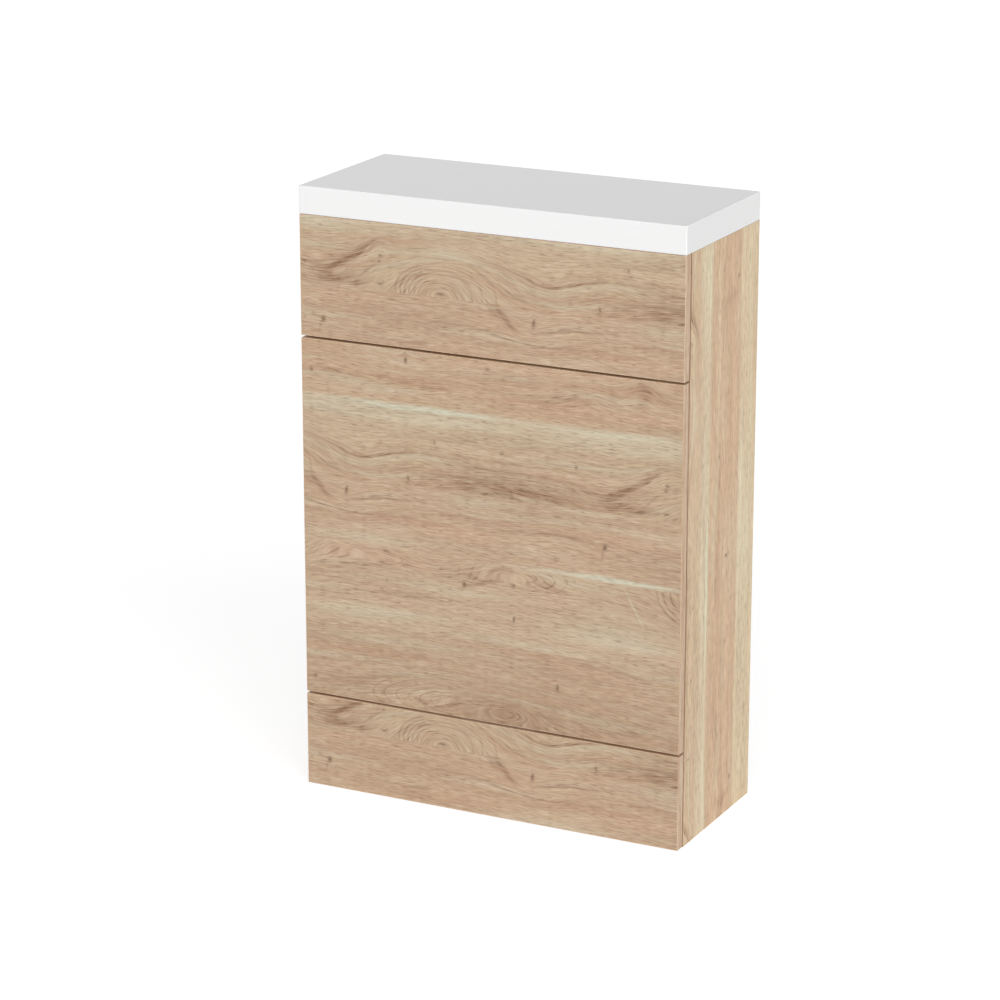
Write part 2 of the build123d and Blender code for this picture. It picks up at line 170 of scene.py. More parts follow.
def new_group(name, inputs, outputs):
    """An empty shader node group: its tree, its inputs and its output node."""
    tree = bpy.data.node_groups.new(name, "ShaderNodeTree")
    for in_out, sockets in (("INPUT", inputs), ("OUTPUT", outputs)):
        for socket_name, kind in sockets:
            tree.interface.new_socket(socket_name, in_out=in_out, socket_type="NodeSocket" + kind)
    build = Tree(tree)
    start = build.nodes.new("NodeGroupInput")
    end = build.nodes.new("NodeGroupOutput")
    return tree, build, start.outputs, end.inputs


# The oak print

# What one plank of the print holds, all in millimetres of the print. Each mark starts with its
# middle (u, v) and its (half length, half width).
# swells: rise. The grain lines are lines of equal height, and height is v plus the swells' rises, so
#     a swell bends them, and a steep one closes them into loops.
# knots: strength. The grain parts round each strong one.
# dark, pale: turn in degrees, strength. Strokes along the grain lines; pale ones are sapwood.
# noses: strength. The rounded end of a loop in the grain, as half of an ellipse's outline: the
#     right half, or the left one where the strength is below nothing.
Plank = namedtuple("Plank", "top tone swells knots dark pale noses")

CREAM_PLANK = Plank(
    top=-300.0,
    tone=srgb(197, 178, 148),
    swells=(((300, -262), (140, 20), 6),),
    knots=(((723, -258), (5.0, 3.0), 0.5),),
    dark=(((610, -232), (90, 5), 0, 0.2),),
    pale=(
        ((380, -231), (180, 5.0), 0, 0.55),
        ((560, -250), (180, 16), 0, 0.25),
    ),
    noses=(),
)

PINK_PLANK = Plank(
    top=-221.0,
    tone=srgb(188, 159, 130),
    swells=(
        ((755, -164), (52, 20), 14),
        ((500, -178), (70, 16), -6),
        ((560, -150), (60, 14), 6),
        ((335, -170), (60, 18), 8),
        ((92, -190), (26, 26), 14),
    ),
    knots=(
        ((469, -184), (2.2, 4.6), 1.0),
        ((600, -185), (3.4, 2.2), 0.8),
        ((316, -153), (1.8, 2.0), 0.8),
        ((68, -211), (3.2, 3.2), 0.8),
    ),
    dark=(
        ((509, -148), (26, 2.6), 0, 0.50),
        ((755, -168), (60, 2.6), 0, 0.40),
        ((345, -155), (45, 2.0), 0, 0.40),
        ((620, -170), (60, 10), 0, 0.22),
        ((700, -150), (60, 6.0), 0, 0.22),
        ((92, -188), (28, 8.0), 80, 0.45),
    ),
    pale=(((390, -140), (60, 8), 0, 0.2),),
    noses=(),
)

EYE_PLANK = Plank(
    top=-121.0,
    tone=srgb(188, 163, 134),
    swells=(
        ((225, -20), (82, 45), 60),
        ((127, -66), (30, 16), 12),
        ((30, -20), (40, 20), -8),
        ((392, -32), (48, 24), -12),
        ((490, -48), (40, 20), 6),
        ((600, -12), (118, 15), 13),
    ),
    knots=(
        ((516, -68), (1.4, 3.0), 0.70),
        ((519, -60), (3.2, 1.3), 0.55),
        ((622, -65.6), (3.2, 1.6), 0.70),
        ((737, -60), (2.0, 2.4), 0.79),
        ((130, -51), (2.6, 1.8), 0.90),
        ((129, -43), (2.0, 1.4), 0.75),
        ((195, -34), (2.2, 1.4), 0.60),
        ((129, -10), (4.5, 1.4), 0.75),
        ((227, -4), (6.0, 1.5), 0.79),
    ),
    dark=(
        ((104, -56), (30, 2.0), -24, 0.75),
        ((84, -46), (44, 3.6), -23, 0.60),
        ((60, -33), (30, 6.0), -20, 0.75),
        ((55, -11), (26, 7.0), 0, 1.00),
        ((92, -8), (18, 4.0), 5, 0.85),
        ((20, -26), (34, 6.0), 0, 0.45),
        ((110, -28), (18, 2.0), -30, 0.40),
        ((425, -37), (105, 2.0), 0, 0.75),
        ((610, -52), (85, 1.8), 0, 0.50),
        ((640, -38), (110, 2.4), 0, 0.65),
        ((615, -18), (140, 17), 0, 0.75),
        ((560, -22), (42, 2.2), 0, 0.55),
        ((472, -9), (2.0, 8.0), 0, 0.55),
        ((690, -12), (40, 4.0), 0, 0.45),
        ((360, -8), (26, 6.0), 0, 0.30),
    ),
    pale=(
        ((520, -114.5), (90, 4.0), 0, 1.00),
        ((440, -113), (150, 5.5), 0, 0.50),
        ((790, -114), (110, 5.0), 0, 0.50),
        ((380, -100), (260, 18), 0, 0.30),
        ((60, -100), (160, 18), 0, 0.34),
        ((240, -66), (44, 17), 0, 0.36),
    ),
    noses=(
        ((228, -4), (73, 46), -0.60),
        ((228, -4), (65, 41), -0.70),
        ((228, -4), (58, 37), -0.70),
        ((228, -4), (51, 33), -0.75),
        ((228, -4), (43, 28), -0.60),
        ((228, -4), (35, 23), -0.45),
        ((232, -4), (44, 30), 0.35),
        ((232, -4), (60, 42), 0.40),
        ((232, -4), (82, 50), 0.35),
        ((530, -9), (58, 9), -0.60),
    ),
)

SWIRL_PLANK = Plank(
    top=0.0,
    tone=srgb(187, 159, 131),
    swells=(
        ((365, 34), (50, 34), -11),
        ((700, 48), (60, 16), 7),
    ),
    knots=(
        ((371, 21), (1.8, 4.6), 1.0),
        ((37, 51), (2.8, 3.6), 1.0),
    ),
    dark=(
        ((322, 14), (24, 5.0), 40, 0.60),
        ((336, 28), (26, 4.4), 36, 0.42),
        ((304, 8), (18, 4.4), 40, 0.42),
        ((425, 26), (58, 2.2), 0, 0.75),
        ((360, 52), (110, 2.4), 4, 0.55),
        ((235, 42), (32, 10), 0, 0.28),
        ((706, 43), (72, 2.4), 0, 0.55),
        ((560, 38), (46, 4.0), 0, 0.30),
        ((33, 60), (2.0, 7.0), 12, 0.55),
        ((180, 70), (40, 2.2), 0, 0.45),
    ),
    pale=(
        ((804, 97), (105, 4.0), 0, 1.20),
        ((390, 88), (90, 10), 0, 0.30),
        ((580, 12), (70, 9.0), 0, 0.34),
    ),
    noses=(),
)

LOOP_PLANK = Plank(
    top=102.0,
    tone=srgb(189, 163, 135),
    swells=(
        ((390, 107), (80, 14), 16),
        ((636, 105), (80, 18), 22),
        ((205, 128), (80, 42), -44),
    ),
    knots=(
        ((435, 104), (4.0, 1.4), 0.79),
        ((436, 150), (2.0, 1.4), 0.65),
        ((561, 136), (2.6, 4.0), 1.0),
        ((640, 129), (1.8, 2.4), 0.79),
        ((641, 178), (1.6, 4.6), 1.0),
    ),
    dark=(
        ((390, 131), (62, 2.0), 0, 0.70),
        ((600, 127), (38, 3.0), -12, 0.55),
        ((571, 124), (15, 1.6), -50, 0.45),
        ((577, 128), (19, 1.6), -30, 0.45),
        ((560, 120), (34, 9.0), 0, 0.26),
        ((470, 168), (75, 3.0), -2, 0.50),
        ((700, 124), (26, 3.0), 0, 0.40),
    ),
    pale=(
        ((390, 202), (100, 15), 0, 0.36),
        ((640, 212), (120, 8.0), 0, 0.34),
        ((60, 182), (100, 24), 0, 0.32),
        ((84, 136), (28, 1.6), 60, 0.60),
        ((580, 150), (70, 4.0), -3, 0.30),
    ),
    noses=(
        ((396, 116), (66, 13), 0.75),
        ((404, 116), (46, 9), 0.35),
        ((626, 111), (50, 12), 0.65),
        ((622, 113), (66, 17), 0.40),
        ((612, 112), (92, 24), 0.75),
        ((612, 112), (112, 30), 0.45),
        ((215, 100), (99, 62), -0.60),
        ((215, 100), (90, 56), -0.70),
        ((215, 100), (79, 48), -0.75),
        ((215, 100), (68, 40), -0.60),
        ((215, 100), (58, 33), -0.50),
    ),
)

ARCH_PLANK = Plank(
    top=221.0,
    tone=srgb(182, 155, 127),
    swells=(
        ((600, 306), (190, 30), 32),
        ((632, 322), (30, 10), 12),
        ((470, 250), (120, 16), 6),
    ),
    knots=(
        ((711, 270), (2.2, 4.0), 0.9),
        ((314, 314), (2.4, 2.4), 0.7),
        ((499, 282), (3.4, 1.3), 0.7),
    ),
    dark=(
        ((420, 300), (60, 4.0), -8, 0.40),
        ((640, 318), (130, 20), 0, 0.40),
        ((380, 322), (90, 24), 0, 0.16),
        ((60, 320), (120, 30), 0, 0.22),
    ),
    pale=(((460, 236), (150, 10), 0, 0.22),),
    noses=(
        ((620, 321), (208, 44), -0.60),
        ((620, 321), (190, 38), -0.60),
        ((620, 321), (170, 32), -0.65),
        ((620, 321), (150, 27), -0.40),
        ((620, 321), (132, 22), -0.60),
        ((620, 321), (114, 17), -0.45),
        ((620, 321), (90, 12), -0.50),
        ((634, 325), (20, 7), 0.45),
    ),
)

PLANKS = (CREAM_PLANK, PINK_PLANK, EYE_PLANK, SWIRL_PLANK, LOOP_PLANK, ARCH_PLANK)

OAK_DARK = srgb(128, 92, 66)
OAK_SAP = srgb(208, 203, 179)
OAK_KNOT = srgb(84, 60, 44)
OAK_PINK = srgb(192, 152, 126)
OAK_LIGHT = srgb(232, 214, 186)

# How far outside the window, in its own half lengths, a mark still shows
STROKE_REACH = 1.7
NOSE_REACH = 1.2
KNOT_REACH = 6.0

# The grain, in millimetres: how far it sways, its rings' width, and the rise above which a swell
# closes into a loop
SWAY = 6.0
RING_WIDTH = 8.5
LOOP_RISE = 40.0

# Noses: the line's half width in millimetres, and the share of the way out at which it is at its full
# strength
NOSE_LINE = 1.5
NOSE_FULL = 0.7

# Knots: how much wider than the knot its push on the grain reaches, how hard it pushes in half
# widths, the strength from which a knot pushes, and how sharp its own edge is
KNOT_HALO = 3.2
KNOT_PUSH = 1.4
STRONG_KNOT = 0.8
KNOT_EDGE = 0.8


def swell_height(plank, u, v):
    """The grain's height at a place of a plank: v plus each swell's rise there."""
    height = v
    for (u0, v0), (length, width), rise in plank.swells:
        for shift in (-REPEAT, 0.0, REPEAT):
            away = ((u - u0 - shift) / length) ** 2 + ((v - v0) / width) ** 2
            height += rise * math.exp(-away)
    return height


class OakPrint:
    """The oak print's node group for one board, which shows a window of it: from low to high u."""

    def __init__(self, name, planks, low, high):
        self.tree, self.build, start, self.end = new_group(
            name, (("Place", "Vector"),), (("Color", "Color"),))
        self.place = start["Place"]
        self.planks = planks
        self.low = low
        self.high = high
        self.make()

    def marks(self, kind, reach):
        """Each mark of a kind that shows in the window, in each repeat: its plank, middle and rest."""
        for plank in self.planks:
            for (u, v), size, *rest in getattr(plank, kind):
                for repeat in (-1, 0, 1, 2):
                    at = u + repeat * REPEAT
                    if self.low - reach * size[0] < at < self.high + reach * size[0]:
                        yield plank, (at, v), size, *rest

    def room(self, plank):
        """How far a plank is moved across, to keep its grain apart from its neighbours'."""
        return PLANK_ROOM * PLANKS.index(plank)

    def strokes(self, lines, kind, total):
        """total with each stroke of a kind, each a spot stretched along the grain lines."""
        for plank, (u, v), size, turn, strength in self.marks(kind, STROKE_REACH):
            place = (u, swell_height(plank, u, v) + self.room(plank))
            spot = self.build.spot(self.build.offset(lines, place, size, turn))
            total = self.build.math("MULTIPLY_ADD", spot, strength, total)
        return total

    def noses(self, bent, total):
        """total with each rounded loop end: a thin line where the square of the distance is 1."""
        build = self.build
        for plank, (u, v), size, strength in self.marks("noses", NOSE_REACH):
            near = build.offset(bent, (u, v + self.room(plank)), size)
            off = build.math("SUBTRACT", build.vector("DOT_PRODUCT", near, near), 1.0)
            off = build.math("MULTIPLY", off, size[0] / (2 * NOSE_LINE))
            line = build.bell(build.math("MULTIPLY", off, off))
            full = math.copysign(NOSE_FULL, strength)
            shown = build.grade(build.along(near, 1, 0), 0.0, full, 0.0, abs(strength))
            total = build.math("MULTIPLY_ADD", line, shown, total)
        return total

    def streaks(self, vector, length, width, detail, roughness=0.5, output=0):
        """Noise drawn out along the grain, of that length and width."""
        stretched = self.build.vector("MULTIPLY", vector, (1 / length, 1 / width, 0.0))
        return self.build.noise(stretched, 1.0, detail, roughness, output)

    def bent_place(self, v):
        """The place with room between the planks, swaying a little. Its z is 1."""
        build = self.build
        moved = v
        for plank in PLANKS[1:]:
            if plank in self.planks[1:]:
                below = build.math("GREATER_THAN", v, plank.top)
                moved = build.math("MULTIPLY_ADD", below, PLANK_ROOM, moved)
        first = self.room(self.planks[0])
        flat = build.combine(build.along(self.place, 1, 0), build.math("ADD", moved, first), 1.0)
        sway = build.vector("SUBTRACT", self.streaks(flat, 110, 26, 2.0, output=1), (0.5, 0.5, 0.5))
        return build.vector("MULTIPLY_ADD", sway, (SWAY, SWAY, 0.0), flat)

    def swelling(self, bent):
        """The grain's height, and how far inside a loop a place is."""
        build = self.build
        height = build.along(bent, 0, 1)
        loops = 0.0
        for plank, (u, v), size, rise in self.marks("swells", STROKE_REACH):
            spot = build.spot(build.offset(bent, (u, v + self.room(plank)), size))
            height = build.math("MULTIPLY_ADD", spot, rise, height)
            if abs(rise) > LOOP_RISE:
                loops = build.math("ADD", spot, loops)
        return height, loops

    def knotting(self, bent, height):
        """The knots, and the grain's height with the push of the strong ones."""
        build = self.build
        knots = 0.0
        for plank, (u, v), (length, width), strength in self.marks("knots", KNOT_REACH):
            halo = (length * KNOT_HALO, width * KNOT_HALO)
            near = build.offset(bent, (u, v + self.room(plank)), halo)
            spot = build.spot(near)
            core = build.math("POWER", spot, KNOT_HALO * KNOT_HALO * KNOT_EDGE)
            knots = build.math("MULTIPLY_ADD", core, strength, knots)
            if strength >= STRONG_KNOT:
                push = build.math("MULTIPLY", build.along(near, 0, 1), spot)
                height = build.math("MULTIPLY_ADD", push, -width * KNOT_PUSH, height)
        return knots, height

    def rings(self, lines, height, loops, dark):
        """dark with the growth rings: dark on one side of each line, fading over the ring."""
        build = self.build
        drift = self.streaks(lines, 130, 16, 1.0)
        ring = build.math("MULTIPLY_ADD", drift, 2.2, build.math("DIVIDE", height, RING_WIDTH))
        ring = build.math("FRACT", ring)
        ring = build.math("MULTIPLY", build.grade(ring, 0.0, 0.2), build.grade(ring, 0.8, 0.2))
        shown = build.grade(self.streaks(lines, 160, 30, 1.0), 0.45, 0.8, 0.04, 0.34)
        shown = build.math("MULTIPLY_ADD", build.math("MINIMUM", loops, 1.0), 0.30, shown)
        return build.math("MULTIPLY_ADD", build.math("SUBTRACT", ring, 0.25), shown, dark)

    def make(self):
        """The whole print: its colour at a place, from the grain and all the marks."""
        build = self.build
        v = build.along(self.place, 0, 1)
        bent = self.bent_place(v)
        height, loops = self.swelling(bent)
        knots, height = self.knotting(bent, height)
        lines = build.combine(build.along(bent, 1, 0), height, 1.0)

        # Fine streaks first, because they break up the dark strokes
        fine = self.streaks(lines, 34, 2.4, 3.0, 0.6)
        broken = build.grade(fine, 0.66, 0.36, 0.75, 1.4)
        dark = self.noses(bent, self.strokes(lines, "dark", 0.0))
        dark = build.math("MULTIPLY", dark, broken)
        pale = self.strokes(lines, "pale", 0.0)
        dark = self.rings(lines, height, loops, dark)

        # Streaks at four scales, all along the grain lines
        wide_tone, wide_hue, _ = build.split(self.streaks(lines, 260, 17, 2.0, output=1))
        fibre = self.streaks(lines, 20, 1.2, 1.0)
        pores = build.grade(self.streaks(lines, 14, 1.5, 0.0), 0.64, 0.8)
        for streak, strength in ((wide_tone, 0.9), (fine, 1.4), (fibre, 1.5)):
            dark = build.math("MULTIPLY_ADD", build.math("SUBTRACT", 0.5, streak), strength, dark)
        dark = build.math("MULTIPLY_ADD", pores, 0.6, dark)
        pale = build.math("MULTIPLY_ADD", build.grade(wide_hue, 0.52, 0.75), 0.25, pale)
        build.links.new(self.colour(v, wide_hue, dark, pale, knots), self.end["Color"])

    def colour(self, v, hue, dark, pale, knots):
        """The planks' tones with everything that darkens or lightens them, in their order."""
        build = self.build
        tone = self.planks[0].tone
        for plank in self.planks[1:]:
            tone = build.mix(build.math("GREATER_THAN", v, plank.top), tone, plank.tone)
        colour = build.mix(build.grade(hue, 0.5, 0.3, 0.0, 0.3), tone, OAK_PINK)
        colour = build.mix(build.math("MINIMUM", pale, 1.0), colour, OAK_SAP)
        for share, layer in ((0.55, OAK_DARK), (-0.55, OAK_LIGHT)):
            colour = build.mix(build.math("MULTIPLY", dark, share, clamp=True), colour, layer)
        return build.mix(build.math("MULTIPLY", knots, 0.75, clamp=True), colour, OAK_KNOT)


# Materials


class Material:
    """A material under construction: its tree, its surface shader and Object coordinates in mm."""

    def __init__(self, name):
        self.made = bpy.data.materials.new(name)
        self.made.use_nodes = True
        self.build = Tree(self.made.node_tree)
        self.shader = self.build.nodes["Principled BSDF"]
        place = self.build.nodes.new("ShaderNodeTexCoord")
        self.normal = place.outputs["Normal"]
        self.place = self.build.vector("MULTIPLY", place.outputs["Object"], (MM, MM, MM))
        self.x, self.y, self.z = self.build.split(self.place)

    def set(self, **values):
        """Links or sets the surface shader's inputs, by their names in lower case."""
        inputs = {name.replace("_", " ").title(): value for name, value in values.items()}
        self.build.fill(self.shader, inputs)

    def bump(self, height, depth):
        """Relief from a height of 0 to 1, depth metres high."""
        out = self.build.add("ShaderNodeBump", {"Height": height, "Distance": depth, "Strength": 1.0})
        self.build.links.new(out, self.shader.inputs["Normal"])

    def facing(self, axis):
        """1 where the surface faces along the axis, 0 elsewhere."""
        along = self.build.math("ABSOLUTE", self.build.vector("DOT_PRODUCT", self.normal, axis))
        return self.build.math("GREATER_THAN", along, 0.7)


def make_chipboard():
    """Chipboard's raw edge as a node group: pressed wood chips of many tones, with small holes."""
    tree, build, start, end = new_group(
        "chipboard edge", (("Place", "Vector"),), (("Color", "Color"), ("Height", "Float")))
    place = start["Place"]
    waver = build.noise(place, 0.6, output=1, kind="3D")
    bent = build.vector("MULTIPLY_ADD", waver, (1.2, 1.2, 1.2), place)
    chips = build.cells(bent, 0.55)
    tone, hue, _ = build.split(chips)
    tones = (srgb(150, 116, 80), srgb(190, 158, 118), srgb(214, 188, 150))
    colour = build.ramp(tone, tuple(zip((0.0, 0.5, 1.0), tones)))
    dust = build.noise(place, 2.2, detail=3.0, kind="3D")
    colour = build.mix(build.math("MULTIPLY", dust, 0.4), colour, srgb(132, 98, 66))
    holes = build.grade(build.cells(bent, 0.8, "Distance"), 0.12, 0.02)
    holes = build.math("MULTIPLY", holes, build.math("GREATER_THAN", hue, 0.7))
    colour = build.mix(build.math("MULTIPLY", holes, 0.7), colour, srgb(70, 48, 32))
    build.links.new(colour, end["Color"])
    build.links.new(build.math("SUBTRACT", build.math("MULTIPLY", tone, 0.6), holes), end["Height"])
    return tree


CHIPBOARD = make_chipboard()
UNIT_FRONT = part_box("middle_panel_edging")[0].y * MM
UNIT_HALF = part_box("middle_panel_edging")[1].x * MM
SIDE_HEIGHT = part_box("right_side_panel")[1].z * MM

# Where each board is cut from the print. A level board has the u at the unit's middle and the v at
# the floor. A side has the u at its foot and the v at the unit's front. The access panel and the
# plinth panel share most of their part of the print.
ACCESS_WINDOW = (UNIT_HALF, 765.6)
PLINTH_WINDOW = (UNIT_HALF, 94.0)
MIDDLE_WINDOW = (UNIT_HALF + 300.0, 485.6)
RIGHT_WINDOW = (865.8, -27.25)
LEFT_WINDOW = (1200.0, 275.0)
RAIL_WINDOW = (200.0, 60.0)

# How much lighter or redder than the fascia's a board's print is made. The sides' gain is painted light,
# for the brighter light and sheen on the sides. The rails' gain is painted shade, for the dark warm gaps
# through which the rails are seen.
EVEN = (1.0, 1.0, 1.0, 1.0)
# Painted light: the side boards' print is made lighter, for the light and sheen the sides catch
SIDE_PAINTED_LIGHT_GAIN = (1.34, 1.33, 1.27, 1.0)
# Painted shade: the rails' print is made redder and darker, for the dark warm gaps they are seen through
RAIL_PAINTED_SHADE_GAIN = (1.0, 0.86, 0.75, 1.0)


def make_relief():
    """The boards' pressed wood grain, which doesn't follow the print under it: fine drawn-out pores."""
    tree, build, start, end = new_group("pressed grain", (("Place", "Vector"),), (("Height", "Float"),))
    stretched = build.vector("MULTIPLY", start["Place"], (1 / 16, 1 / 1.3, 0.0))
    pores = build.grade(build.noise(stretched, 1.0, 2.0, 0.6), 0.45, 0.7, 1.0, 0.0)
    build.links.new(pores, end["Height"])
    return tree


RELIEF = make_relief()


def oak_finish(material, place, oak_print, facing, gain):
    """The oak print under a matt lacquer on the faces, and raw chipboard on the edges."""
    build = material.build
    colour = build.group(oak_print.tree, {"Place": place})[0]
    # For the side boards this gain is painted light, and for the rails it is painted shade
    colour = build.mix(1.0, colour, gain, "MULTIPLY")
    height = build.group(RELIEF, {"Place": place})[0]
    rough = build.math("MULTIPLY_ADD", height, -0.12, 0.58)
    raw_colour, raw_height = build.group(CHIPBOARD, {"Place": material.place})[:2]
    faced = material.facing(facing)
    material.set(base_color=build.mix(faced, raw_colour, colour),
                 roughness=build.add("ShaderNodeMix", {0: faced, 2: 0.85, 3: rough}))
    material.bump(build.add("ShaderNodeMix", {0: faced, 2: raw_height, 3: height}), 0.00012)


def level_board(name, planks, window, gain=EVEN):
    """A board whose grain runs from left to right: print u is x and along, and v is across less z."""
    along, across = window
    material = Material(name)
    place = material.build.combine(material.build.math("ADD", material.x, along),
                                   material.build.math("SUBTRACT", across, material.z))
    oak_print = OakPrint(name, planks, along - UNIT_HALF, along + UNIT_HALF)
    oak_finish(material, place, oak_print, (0, 1, 0), gain)
    return material.made


def upright_board(name, planks, window, gain=EVEN):
    """A side board, whose grain runs up: print u is along less z, and v is across less the depth."""
    along, across = window
    material = Material(name)
    depth = material.build.math("SUBTRACT", material.y, UNIT_FRONT)
    place = material.build.combine(material.build.math("SUBTRACT", along, material.z),
                                   material.build.math("SUBTRACT", across, depth))
    oak_print = OakPrint(name, planks, along - SIDE_HEIGHT, along)
    oak_finish(material, place, oak_print, (1, 0, 0), gain)
    return material.made


def edge_tape(name, dark, light):
    """Thin printed tape of two tones, with fine grain along the strip."""
    material = Material(name)
    build = material.build
    level = material.facing((0, 0, 1))
    upright = build.combine(material.z, build.math("ADD", material.x, material.y))
    sideways = build.combine(material.x, build.math("ADD", material.z, material.y))
    place = build.add("ShaderNodeMix", {0: level, 4: upright, 5: sideways}, 1, data_type="VECTOR")
    bands = build.noise(build.vector("MULTIPLY", place, (1 / 160, 1 / 5, 0.0)), detail=2.0)
    fine = build.noise(build.vector("MULTIPLY", place, (1 / 18, 1 / 0.9, 0.0)), detail=2.0)
    colour = build.mix(build.grade(bands, 0.3, 0.7), dark, light)
    colour = build.mix(build.grade(fine, 0.5, 0.75, 0.0, 0.5), colour, OAK_DARK)
    material.set(base_color=colour, roughness=build.grade(fine, 0.3, 0.7, 0.42, 0.55))
    material.bump(fine, 0.00006)
    return material.made


def cast_resin():
    """Gloss white cast resin with a faint cloud, and a raw matt casting face underneath and inside."""
    material = Material("white cast resin")
    build = material.build
    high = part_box("worktop")[1]
    gloss_depth = 5.0
    inside = 1.0
    for value, limit in ((build.math("ABSOLUTE", material.x), high.x),
                         (build.math("ABSOLUTE", material.y), high.y), (material.z, high.z)):
        deep = build.math("LESS_THAN", value, limit * MM - gloss_depth)
        inside = build.math("MULTIPLY", inside, deep)
    below = build.math("LESS_THAN", build.vector("DOT_PRODUCT", material.normal, (0, 0, 1)), -0.7)
    raw = build.math("MAXIMUM", inside, below)
    cloud = build.noise(material.place, 0.006, detail=4.0, kind="3D")
    pits = build.grade(build.noise(material.place, 0.9, detail=3.0, kind="3D"), 0.62, 0.72)
    clean = build.mix(cloud, (0.84, 0.84, 0.835, 1.0), (0.87, 0.87, 0.868, 1.0))
    pitted = build.math("MULTIPLY", pits, 0.5)
    rough_face = build.mix(pitted, (0.76, 0.75, 0.72, 1.0), (0.5, 0.48, 0.44, 1.0))
    smears = build.grade(build.noise(material.place, 0.02, detail=5.0, kind="3D"), 0.35, 0.7, 0.07, 0.13)
    material.set(base_color=build.mix(raw, clean, rough_face),
                 roughness=build.add("ShaderNodeMix", {0: raw, 2: smears, 3: 0.7}))
    material.bump(build.math("MULTIPLY", build.math("SUBTRACT", 1.0, pits), raw), 0.0002)
    return material.made


def plain_wood(name, axis_scale, light, dark, fleck):
    """Sawn softwood or beech: rings and streaks along the piece, with short darker flecks."""
    material = Material(name)
    build = material.build
    place = build.vector("MULTIPLY", material.place, axis_scale)
    rings = build.noise(place, 0.35, detail=3.0, roughness=0.6, kind="3D")
    colour = build.mix(build.grade(rings, 0.35, 0.65), light, dark)
    flecks = build.grade(build.noise(place, 2.4, detail=1.0, kind="3D"), 0.6, 0.72)
    colour = build.mix(build.math("MULTIPLY", flecks, 0.5), colour, fleck)
    material.set(base_color=colour, roughness=build.grade(rings, 0.3, 0.7, 0.55, 0.7))
    material.bump(flecks, 0.0001)
    return material.made


def metal(name, tone, second, scale, low_rough, high_rough):
    """Plated or cast metal: patches of two tones that also differ in gloss."""
    material = Material(name)
    build = material.build
    patches = build.split(build.cells(material.place, scale))[0]
    cloud = build.noise(material.place, scale * 2.5, detail=4.0, kind="3D")
    share = build.math("MULTIPLY_ADD", patches, 0.6, build.math("MULTIPLY", cloud, 0.4))
    material.set(base_color=build.mix(share, tone, second), metallic=1.0,
                 roughness=build.grade(share, 0.1, 0.9, low_rough, high_rough))
    material.bump(cloud, 0.00004)
    return material.made


def moulded(name, tone, second, rough, grain):
    """Moulded nylon or rubber: a slightly uneven tone over a fine moulded grain."""
    material = Material(name)
    build = material.build
    cloud = build.noise(material.place, 0.25, detail=3.0, kind="3D")
    skin = build.noise(material.place, grain, detail=2.0, kind="3D")
    material.set(base_color=build.mix(cloud, tone, second),
                 roughness=build.grade(skin, 0.3, 0.7, rough - 0.08, rough + 0.08))
    material.bump(skin, 0.00005)
    return material.made


def paint(material, *nodes):
    """Gives CAD nodes a material in every slot, or in a first one."""
    for node in nodes:
        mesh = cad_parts[node].data
        if not mesh.materials:
            mesh.materials.append(material)
        for slot in range(len(mesh.materials)):
            mesh.materials[slot] = material


def paint_oak():
    """The oak boards, and the tape on their edges."""
    low_planks = (EYE_PLANK, SWIRL_PLANK)
    paint(level_board("oak access panel", low_planks, ACCESS_WINDOW), "access_panel")
    paint(level_board("oak plinth panel", low_planks, PLINTH_WINDOW), "plinth_panel")
    paint(level_board("oak middle panel", PLANKS[1:], MIDDLE_WINDOW), "middle_panel")
    # The side boards get painted light: their print is made lighter than the fascia's
    right = upright_board("oak right side", PLANKS[:3], RIGHT_WINDOW, SIDE_PAINTED_LIGHT_GAIN)
    paint(right, "right_side_panel")
    left = upright_board("oak left side", (SWIRL_PLANK, LOOP_PLANK), LEFT_WINDOW, SIDE_PAINTED_LIGHT_GAIN)
    paint(left, "left_side_panel")
    # The rails get painted shade: their print is made redder and darker than the fascia's
    rails = level_board("oak rails", (PINK_PLANK,), RAIL_WINDOW, RAIL_PAINTED_SHADE_GAIN)
    paint(rails, "top_front_rail", "upper_fascia_rail", "lower_fascia_rail", "top_back_rail",
          "bottom_back_rail")
    pale_tape = edge_tape("oak fascia tape", srgb(199, 163, 131), srgb(217, 193, 163))
    paint(pale_tape, "access_panel_edging", "middle_panel_edging", "plinth_panel_edging")
    # The side boards' edge tape is given a darker tone than the fascia's, as painted shade for the slots
    # behind the fascia panels
    side_tape_painted_shade = edge_tape("oak side tape with painted shade", srgb(162, 126, 97), srgb(184, 152, 124))
    paint(side_tape_painted_shade, "left_side_edging", "right_side_edging")


def paint_worktop():
    """The worktop and the pine blocks that keep it in place."""
    paint(cast_resin(), "worktop")
    pine = plain_wood("pine block", (0.08, 1.0, 1.0),
                      srgb(214, 184, 136), srgb(190, 150, 100), srgb(160, 112, 66))
    paint(pine, "worktop_blocks")


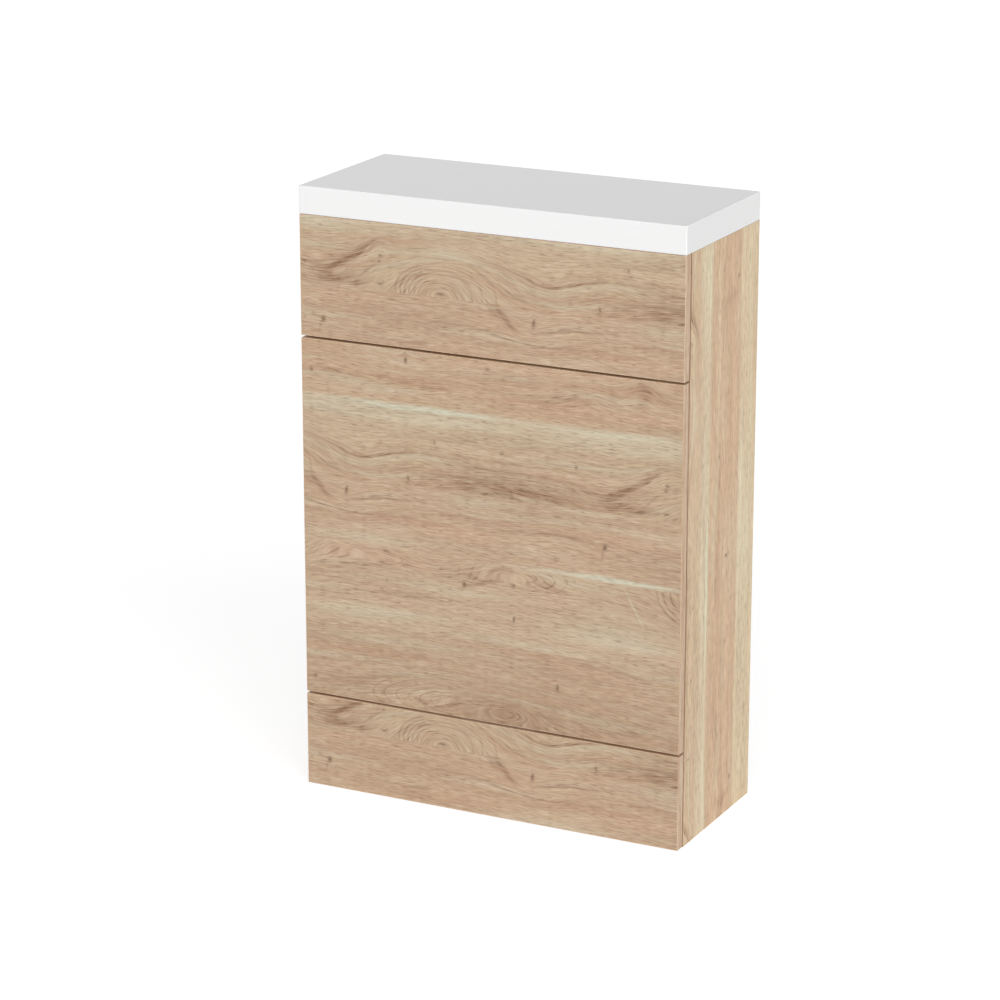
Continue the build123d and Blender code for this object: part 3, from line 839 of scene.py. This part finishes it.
def paint_hardware():
    """Dowels, cam fittings, screws, brackets, clips and buffers."""
    beech = plain_wood("beech dowel", (0.15, 1.0, 1.0),
                       srgb(218, 182, 142), srgb(200, 158, 116), srgb(168, 118, 80))
    paint(beech, "dowels")
    zinc = metal("zinc plated steel", (0.62, 0.63, 0.64, 1), (0.74, 0.73, 0.70, 1), 0.5, 0.25, 0.4)
    paint(zinc, "cam_bolts", "fascia_screws", "fascia_bracket_screws", "wall_bracket_screws")
    cast_zinc = metal("cast zinc", (0.50, 0.50, 0.51, 1), (0.60, 0.60, 0.60, 1), 0.9, 0.4, 0.55)
    paint(cast_zinc, "cam_locks")
    galvanised = metal("galvanised steel", (0.56, 0.57, 0.58, 1), (0.72, 0.72, 0.72, 1), 0.12, 0.3, 0.48)
    paint(galvanised, "fascia_brackets", "wall_brackets")
    nylon = moulded("white nylon", (0.78, 0.78, 0.74, 1), (0.72, 0.72, 0.68, 1), 0.4, 3.0)
    paint(nylon, "access_clip_sockets", "plinth_clip_sockets", "access_clip_studs", "plinth_clip_studs")
    rubber = moulded("buffer rubber", (0.30, 0.30, 0.29, 1), (0.36, 0.36, 0.34, 1), 0.7, 1.2)
    paint(rubber, "panel_buffers")


paint_oak()
paint_worktop()
paint_hardware()


# Stage


def make_camera():
    """The photograph's camera: its angle, distance and focal length."""
    back = (math.sin(CAMERA_AZIMUTH) * math.cos(CAMERA_ELEVATION),
            -math.cos(CAMERA_AZIMUTH) * math.cos(CAMERA_ELEVATION),
            math.sin(CAMERA_ELEVATION))
    data = bpy.data.cameras.new("camera")
    data.sensor_width = SENSOR
    data.lens = FOCAL_PIXELS / PICTURE_SIDE * SENSOR
    data.clip_end = 100.0
    camera = bpy.data.objects.new("camera", data)
    camera.location = [aim + CAMERA_DISTANCE * step for aim, step in zip(CAMERA_AIM, back)]
    camera.rotation_euler = (math.pi / 2 - CAMERA_ELEVATION, 0.0, CAMERA_AZIMUTH)
    bpy.context.scene.collection.objects.link(camera)
    bpy.context.scene.camera = camera


def seen(build):
    """1 for rays that show the background: from the camera, a reflection or through glass."""
    path = build.nodes.new("ShaderNodeLightPath").outputs
    total = build.math("ADD", path["Is Camera Ray"], path["Is Glossy Ray"])
    return build.math("ADD", total, path["Is Transmission Ray"], clamp=True)


def make_sky():
    """A white backdrop all round, which lights the object less than it shows."""
    world = bpy.data.worlds.new("studio")
    bpy.context.scene.world = world
    world.use_nodes = True
    build = Tree(world.node_tree)
    share = seen(build)
    strength = build.add("ShaderNodeMix", {0: share, 2: SKY_LIGHT, 3: 1.0})
    background = build.nodes["Background"]
    background.inputs["Color"].default_value = (1.0, 1.0, 1.0, 1.0)
    build.links.new(strength, background.inputs["Strength"])


def make_key_light():
    """A broad soft lamp from the front, to the right."""
    data = bpy.data.lights.new("key light", "SUN")
    data.energy = KEY_LIGHT * math.pi
    data.angle = KEY_SPREAD
    lamp = bpy.data.objects.new("key light", data)
    lamp.rotation_euler = (math.pi / 2 - KEY_ELEVATION, 0.0, KEY_AZIMUTH)
    bpy.context.scene.collection.objects.link(lamp)


def make_floor():
    """A pale floor that shows white where it is lit and keeps the object's soft shadow."""
    mesh = bpy.data.meshes.new("floor")
    reach = FLOOR_RADIUS
    corners = [(-reach, -reach, 0.0), (reach, -reach, 0.0), (reach, reach, 0.0), (-reach, reach, 0.0)]
    mesh.from_pydata(corners, [], [(0, 1, 2, 3)])
    floor = bpy.data.objects.new("floor", mesh)
    bpy.context.scene.collection.objects.link(floor)
    made = bpy.data.materials.new("pale floor")
    made.use_nodes = True
    mesh.materials.append(made)
    build = Tree(made.node_tree)
    shader = build.nodes["Principled BSDF"]
    shade = build.add("ShaderNodeMix", {0: seen(build), 2: 0.80, 3: FLOOR_SHADE})
    build.links.new(build.combine(shade, shade, shade), shader.inputs["Base Color"])
    shader.inputs["Roughness"].default_value = 1.0
    shader.inputs["Specular IOR Level"].default_value = 0.0
    shader.inputs["Emission Color"].default_value = (1.0, 1.0, 1.0, 1.0)
    glow = build.math("MULTIPLY", seen(build), FLOOR_GLOW)
    build.links.new(glow, shader.inputs["Emission Strength"])


make_camera()
make_sky()
make_key_light()
make_floor()
bpy.context.scene.view_settings.view_transform = "Standard"
